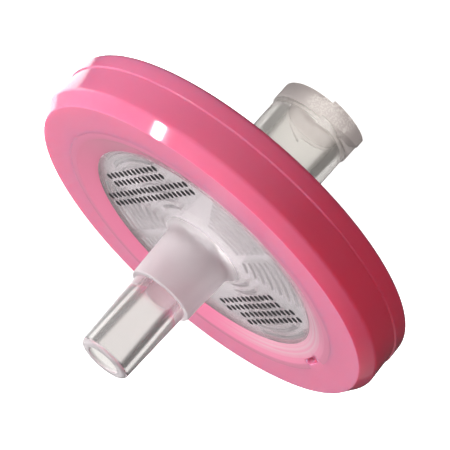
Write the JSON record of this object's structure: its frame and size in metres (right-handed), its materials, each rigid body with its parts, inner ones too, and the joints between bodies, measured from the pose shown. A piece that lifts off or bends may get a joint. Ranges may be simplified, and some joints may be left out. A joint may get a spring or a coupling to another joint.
{
  "type": "syringe filter",
  "caption": "Disposable syringe filter: a round clear housing with a white membrane, a moulded pink ring, a lugged female luer inlet and a tapered male luer outlet.",
  "frame": {"origin": "centre of the inlet mouth's end face, on which the filter stands", "axes": "+Z along the flow axis from the inlet mouth to the outlet tip, -Y towards the viewer, +X to the right"},
  "size_m": [0.0296, 0.0296, 0.024],
  "materials": {
    "clear_inlet": "clear, polished moulding",
    "membrane": "matt white, microporous",
    "clear_outlet": "translucent, polished face and luer, frosted hub",
    "ring": "opaque pink, satin gloss"
  },
  "bodies": {
    "root": {"inlet_housing": "clear_inlet", "membrane": "membrane", "outlet_housing": "clear_outlet", "overmould_ring": "ring"}
  },
  "joints": []
}
